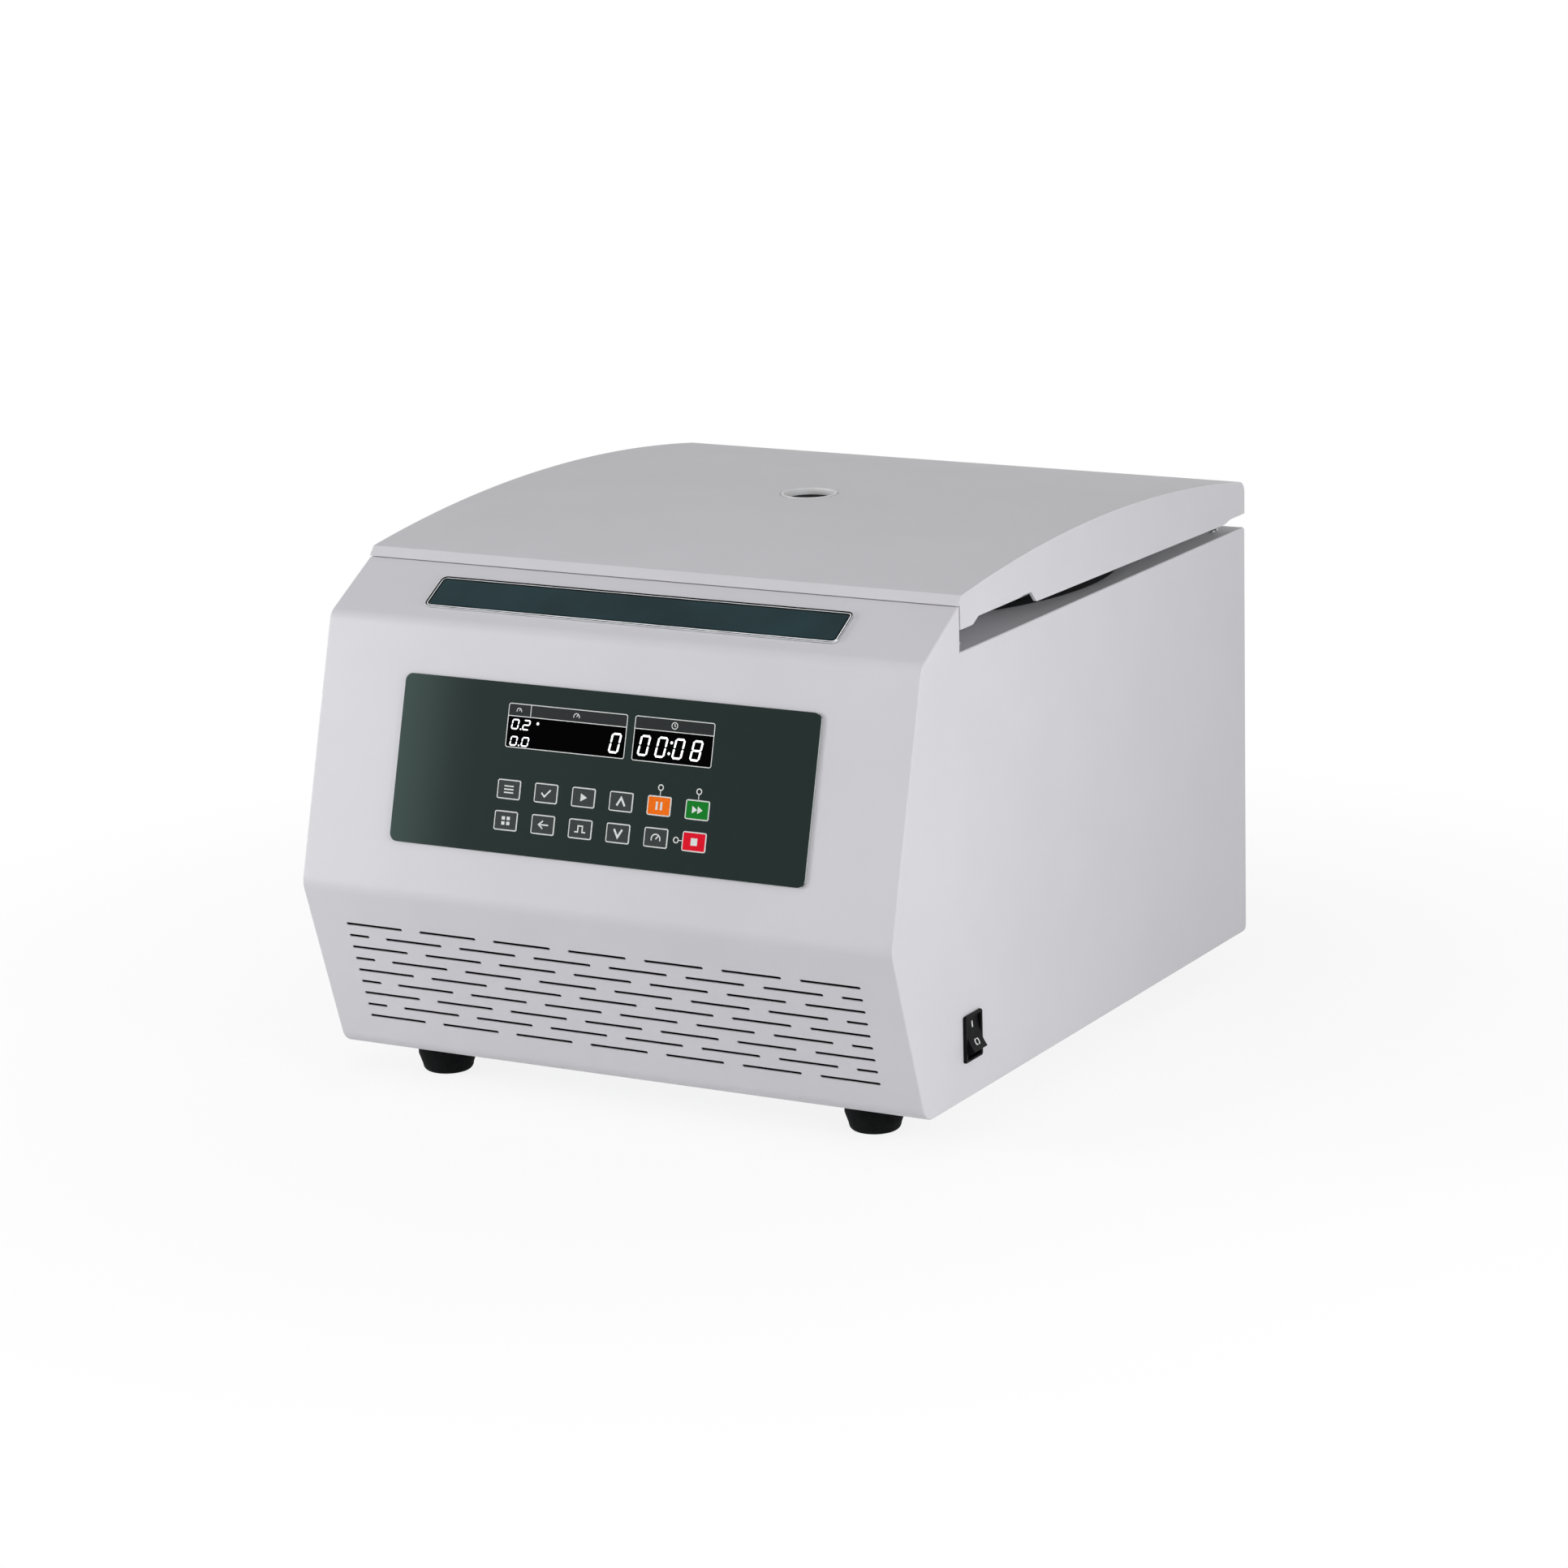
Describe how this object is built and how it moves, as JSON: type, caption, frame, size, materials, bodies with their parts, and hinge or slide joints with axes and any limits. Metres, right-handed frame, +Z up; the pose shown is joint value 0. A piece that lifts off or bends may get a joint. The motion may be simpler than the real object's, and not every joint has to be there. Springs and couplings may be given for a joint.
{
  "type": "low-speed centrifuge",
  "caption": "Bench low-speed centrifuge with a faceted slotted front, keypad and displays, hinged crowned lid with sight glass, and a swing-out rotor in a round chamber.",
  "frame": {"origin": "centre of the object's bottom, on the surface that it stands on", "axes": "+X to the right of someone in front, +Y from the front to the back, +Z up"},
  "size_m": [0.4063, 0.4923, 0.3323],
  "materials": {
    "case_paint": "fine satin powder coat, pale grey",
    "deck_paint": "satin powder coat, mid grey",
    "steel": "zinc plated or brushed",
    "bowl_steel": "spun stainless steel, turned lines",
    "aluminium": "fine turned and bead blasted",
    "dark_metal": "dark satin",
    "rubber": "matte black rubber",
    "black_plastic": "moulded, satin black",
    "panel_film": "dark green polyester film, satin",
    "display_black": "gloss black window",
    "gloss_black": "gloss black-green bezel",
    "strip_teal": "gloss dark teal",
    "key_grey": "dark grey key",
    "key_orange": "orange key",
    "key_green": "green key",
    "key_red": "red key",
    "lamp_lens": "clear lens with a pale ring",
    "circuit": "green circuit board",
    "clear_glass": "clear, slightly green at the edge"
  },
  "bodies": {
    "case": {"housing": "case_paint", "rear_panel": "case_paint", "top_deck": "deck_paint", "base_plate": "steel", "chamber_bowl": "bowl_steel", "chamber_seal": "rubber", "panel_overlay": "panel_film", "display_speed": "display_black", "display_time": "display_black", "control_board": "circuit", "power_board": "circuit", "strip_bezel": "gloss_black", "name_strip": "strip_teal", "lock_housing": "dark_metal", "motor_plate": "aluminium", "motor_body": "dark_metal", "mains_inlet": "black_plastic", "switch_frame": "black_plastic", "foot_front_left": "rubber", "foot_front_right": "rubber", "foot_rear_left": "rubber", "foot_rear_right": "rubber", "hinge_leaf_left": "steel", "hinge_pin_left": "steel", "hinge_leaf_right": "steel", "hinge_pin_right": "steel", "motor_mount_1": "rubber", "motor_mount_2": "rubber", "motor_mount_3": "rubber", "lamp_pause": "lamp_lens", "lamp_run": "lamp_lens", "lamp_stop": "lamp_lens"},
    "lid": {"lid_cover": "case_paint", "lid_liner": "deck_paint", "sight_ring": "aluminium", "sight_glass": "clear_glass", "lid_bracket_left": "steel", "lid_bracket_right": "steel", "lid_striker": "steel"},
    "rotor": {"motor_shaft": "steel", "rotor_yoke": "aluminium", "rotor_nut": "dark_metal"},
    "bucket_1": {"bucket_1": "aluminium"},
    "bucket_2": {"bucket_2": "aluminium"},
    "bucket_3": {"bucket_3": "aluminium"},
    "bucket_4": {"bucket_4": "aluminium"},
    "lock_bolt": {"lock_bolt": "steel"},
    "rocker": {"switch_rocker": "black_plastic"},
    "key_menu": {"key_menu": "key_grey"},
    "key_confirm": {"key_confirm": "key_grey"},
    "key_start": {"key_start": "key_grey"},
    "key_up": {"key_up": "key_grey"},
    "key_pause": {"key_pause": "key_orange"},
    "key_run": {"key_run": "key_green"},
    "key_program": {"key_program": "key_grey"},
    "key_back": {"key_back": "key_grey"},
    "key_pulse": {"key_pulse": "key_grey"},
    "key_down": {"key_down": "key_grey"},
    "key_speed": {"key_speed": "key_grey"},
    "key_stop": {"key_stop": "key_red"}
  },
  "joints": [
    {"name": "lid_hinge", "type": "hinge", "parent": "case", "child": "lid", "pos_m": [0, 0.2375, 0.2976], "axis": [-1, 0, 0], "range_deg": [0, 75]},
    {"name": "rotor_spin", "type": "hinge", "parent": "case", "child": "rotor", "pos_m": [0, 0.0455, 0.2316], "axis": [0, 0, 1], "continuous": true},
    {"name": "bucket_swing_1", "type": "hinge", "parent": "rotor", "child": "bucket_1", "pos_m": [0.07, 0.0455, 0.2316], "axis": [0, -1, 0], "range_deg": [0, 90]},
    {"name": "bucket_swing_2", "type": "hinge", "parent": "rotor", "child": "bucket_2", "pos_m": [0, 0.1155, 0.2316], "axis": [1, 0, 0], "range_deg": [0, 90]},
    {"name": "bucket_swing_3", "type": "hinge", "parent": "rotor", "child": "bucket_3", "pos_m": [-0.07, 0.0455, 0.2316], "axis": [0, 1, 0], "range_deg": [0, 90]},
    {"name": "bucket_swing_4", "type": "hinge", "parent": "rotor", "child": "bucket_4", "pos_m": [0, -0.0245, 0.2316], "axis": [-1, 0, 0], "range_deg": [0, 90]},
    {"name": "lock_bolt_slide", "type": "slide", "parent": "case", "child": "lock_bolt", "axis": [0, -1, 0], "range_m": [0, 0.008]},
    {"name": "switch_rock", "type": "hinge", "parent": "case", "child": "rocker", "pos_m": [0.19475, -0.1492, 0.0561], "axis": [0, 1, 0], "range_deg": [0, 34]},
    {"name": "key_menu_press", "type": "slide", "parent": "case", "child": "key_menu", "axis": [0, 0.964, -0.2661], "range_m": [0, 0.0005], "stiffness_N_per_m": 4000},
    {"name": "key_confirm_press", "type": "slide", "parent": "case", "child": "key_confirm", "axis": [0, 0.964, -0.2661], "range_m": [0, 0.0005], "stiffness_N_per_m": 4000},
    {"name": "key_start_press", "type": "slide", "parent": "case", "child": "key_start", "axis": [0, 0.964, -0.2661], "range_m": [0, 0.0005], "stiffness_N_per_m": 4000},
    {"name": "key_up_press", "type": "slide", "parent": "case", "child": "key_up", "axis": [0, 0.964, -0.2661], "range_m": [0, 0.0005], "stiffness_N_per_m": 4000},
    {"name": "key_pause_press", "type": "slide", "parent": "case", "child": "key_pause", "axis": [0, 0.964, -0.2661], "range_m": [0, 0.0005], "stiffness_N_per_m": 4000},
    {"name": "key_run_press", "type": "slide", "parent": "case", "child": "key_run", "axis": [0, 0.964, -0.2661], "range_m": [0, 0.0005], "stiffness_N_per_m": 4000},
    {"name": "key_program_press", "type": "slide", "parent": "case", "child": "key_program", "axis": [0, 0.964, -0.2661], "range_m": [0, 0.0005], "stiffness_N_per_m": 4000},
    {"name": "key_back_press", "type": "slide", "parent": "case", "child": "key_back", "axis": [0, 0.964, -0.2661], "range_m": [0, 0.0005], "stiffness_N_per_m": 4000},
    {"name": "key_pulse_press", "type": "slide", "parent": "case", "child": "key_pulse", "axis": [0, 0.964, -0.2661], "range_m": [0, 0.0005], "stiffness_N_per_m": 4000},
    {"name": "key_down_press", "type": "slide", "parent": "case", "child": "key_down", "axis": [0, 0.964, -0.2661], "range_m": [0, 0.0005], "stiffness_N_per_m": 4000},
    {"name": "key_speed_press", "type": "slide", "parent": "case", "child": "key_speed", "axis": [0, 0.964, -0.2661], "range_m": [0, 0.0005], "stiffness_N_per_m": 4000},
    {"name": "key_stop_press", "type": "slide", "parent": "case", "child": "key_stop", "axis": [0, 0.964, -0.2661], "range_m": [0, 0.0005], "stiffness_N_per_m": 4000}
  ]
}
